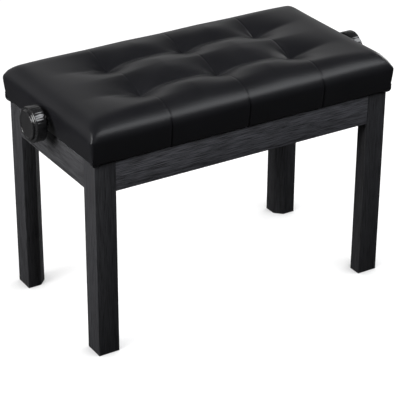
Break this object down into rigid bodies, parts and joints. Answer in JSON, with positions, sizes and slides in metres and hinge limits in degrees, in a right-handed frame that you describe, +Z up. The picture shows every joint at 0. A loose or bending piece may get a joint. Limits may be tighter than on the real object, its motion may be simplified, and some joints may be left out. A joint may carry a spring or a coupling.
{
  "type": "keyboard bench",
  "caption": "Black wooden keyboard bench with a tufted leather-look seat that end knobs raise and lower on a screw-driven parallel lift linkage.",
  "frame": {"origin": "on the floor under the middle of the bench, at the bottom centre of its box", "axes": "+X along the bench towards the right knob, +Y to the rear, +Z up"},
  "size_m": [0.622, 0.301, 0.4087],
  "materials": {
    "black_wood": "black stained open-grain wood, satin",
    "plywood": "dark stained plywood",
    "foam": "cut polyurethane foam",
    "black_leather": "black synthetic leather, semi-gloss",
    "twine": "waxed twine",
    "black_plastic": "glossy black moulded plastic",
    "bush_plastic": "natural nylon",
    "zinc_steel": "zinc-plated steel",
    "black_steel": "black powder-coated steel"
  },
  "bodies": {
    "base": {"leg_front_left": "black_wood", "leg_front_right": "black_wood", "leg_rear_left": "black_wood", "leg_rear_right": "black_wood", "front_rail": "black_wood", "rear_rail": "black_wood", "end_rail_left": "black_wood", "end_rail_right": "black_wood", "corner_braces": "zinc_steel", "leg_bolts": "zinc_steel", "leg_nuts": "zinc_steel", "brace_screws": "zinc_steel", "lower_end_channel_left": "black_steel", "lower_end_channel_right": "black_steel", "channel_screws": "zinc_steel", "lower_spine_front": "black_steel", "lower_spine_rear": "black_steel", "lower_shaft_left": "zinc_steel", "lower_shaft_right": "zinc_steel"},
    "long_arms_left": {"long_arm_left_front": "black_steel", "long_arm_left_rear": "black_steel", "elbow_shaft_left": "zinc_steel"},
    "long_arms_right": {"long_arm_right_front": "black_steel", "long_arm_right_rear": "black_steel", "elbow_shaft_right": "zinc_steel"},
    "short_arms_left": {"short_arm_left_front": "black_steel", "short_arm_left_rear": "black_steel"},
    "short_arms_right": {"short_arm_right_front": "black_steel", "short_arm_right_rear": "black_steel"},
    "traveller_left": {"traveller_left": "zinc_steel"},
    "traveller_right": {"traveller_right": "zinc_steel"},
    "seat": {"seat_board": "plywood", "side_board_front": "plywood", "side_board_rear": "plywood", "side_board_left": "plywood", "side_board_right": "plywood", "seat_foam": "foam", "side_wadding": "foam", "seat_cover": "black_leather", "tuft_twines": "twine", "upper_spine_front": "black_steel", "upper_spine_rear": "black_steel", "upper_end_channel_left": "black_steel", "upper_end_channel_right": "black_steel", "seat_pivot_pins": "zinc_steel", "board_screws": "zinc_steel", "spindle_bushes": "bush_plastic"},
    "spindle": {"spindle": "zinc_steel", "knob_left": "black_plastic", "knob_right": "black_plastic", "spindle_collars": "zinc_steel"},
    "stabiliser_left_outer": {"stabiliser_left_outer": "black_steel", "stabiliser_left_outer_rivets": "zinc_steel"},
    "stabiliser_left_inner": {"stabiliser_left_inner": "black_steel", "stabiliser_left_inner_rivets": "zinc_steel"},
    "stabiliser_right_outer": {"stabiliser_right_outer": "black_steel", "stabiliser_right_outer_rivets": "zinc_steel"},
    "stabiliser_right_inner": {"stabiliser_right_inner": "black_steel", "stabiliser_right_inner_rivets": "zinc_steel"}
  },
  "joints": [
    {"name": "lift", "type": "hinge", "parent": "base", "child": "long_arms_left", "pos_m": [-0.218, 0, 0.29481], "axis": [0, -1, 0], "range_deg": [0, 35.3]},
    {"name": "short_arms_left_pivot", "type": "hinge", "parent": "long_arms_left", "child": "short_arms_left", "pos_m": [-0.14671, 0, 0.32391], "axis": [0, -1, 0], "range_deg": [-70.6, 0]},
    {"name": "seat_pivot", "type": "hinge", "parent": "short_arms_left", "child": "seat", "pos_m": [-0.218, 0, 0.353], "axis": [0, -1, 0], "range_deg": [0, 35.3]},
    {"name": "long_arms_right_pivot", "type": "hinge", "parent": "base", "child": "long_arms_right", "pos_m": [0.218, 0, 0.29481], "axis": [0, -1, 0], "range_deg": [-35.3, 0]},
    {"name": "short_arms_right_pivot", "type": "hinge", "parent": "long_arms_right", "child": "short_arms_right", "pos_m": [0.14671, 0, 0.32391], "axis": [0, -1, 0], "range_deg": [0, 70.6]},
    {"name": "traveller_left_pivot", "type": "hinge", "parent": "long_arms_left", "child": "traveller_left", "pos_m": [-0.07542, 0, 0.353], "axis": [0, -1, 0], "range_deg": [-35.3, 0]},
    {"name": "traveller_right_pivot", "type": "hinge", "parent": "long_arms_right", "child": "traveller_right", "pos_m": [0.07542, 0, 0.353], "axis": [0, -1, 0], "range_deg": [0, 35.3]},
    {"name": "stabiliser_left_pivot", "type": "hinge", "parent": "base", "child": "stabiliser_left_outer", "pos_m": [-0.2378, 0.06, 0.29481], "axis": [1, 0, 0], "range_deg": [-35.3, 0]},
    {"name": "stabiliser_left_cross", "type": "hinge", "parent": "stabiliser_left_outer", "child": "stabiliser_left_inner", "pos_m": [-0.2378, -0.01129, 0.32391], "axis": [1, 0, 0], "range_deg": [0, 70.6]},
    {"name": "stabiliser_right_pivot", "type": "hinge", "parent": "base", "child": "stabiliser_right_outer", "pos_m": [0.2378, -0.06, 0.29481], "axis": [1, 0, 0], "range_deg": [0, 35.3]},
    {"name": "stabiliser_right_cross", "type": "hinge", "parent": "stabiliser_right_outer", "child": "stabiliser_right_inner", "pos_m": [0.2378, 0.01129, 0.32391], "axis": [1, 0, 0], "range_deg": [-70.6, 0]},
    {"name": "knob_turn", "type": "hinge", "parent": "seat", "child": "spindle", "pos_m": [0, 0, 0.353], "axis": [1, 0, 0], "range_deg": [0, 7180.8]}
  ],
  "couplings": [
    {"joint": "short_arms_left_pivot", "follows": "lift", "ratio": -2},
    {"joint": "seat_pivot", "follows": "lift", "ratio": 1},
    {"joint": "long_arms_right_pivot", "follows": "lift", "ratio": -1},
    {"joint": "short_arms_right_pivot", "follows": "lift", "ratio": 2},
    {"joint": "traveller_left_pivot", "follows": "lift", "ratio": -1},
    {"joint": "traveller_right_pivot", "follows": "lift", "ratio": 1},
    {"joint": "stabiliser_left_pivot", "follows": "lift", "ratio": -1},
    {"joint": "stabiliser_left_cross", "follows": "lift", "ratio": 2},
    {"joint": "stabiliser_right_pivot", "follows": "lift", "ratio": 1},
    {"joint": "stabiliser_right_cross", "follows": "lift", "ratio": -2},
    {"joint": "knob_turn", "follows": "lift", "ratio": 203.42}
  ]
}
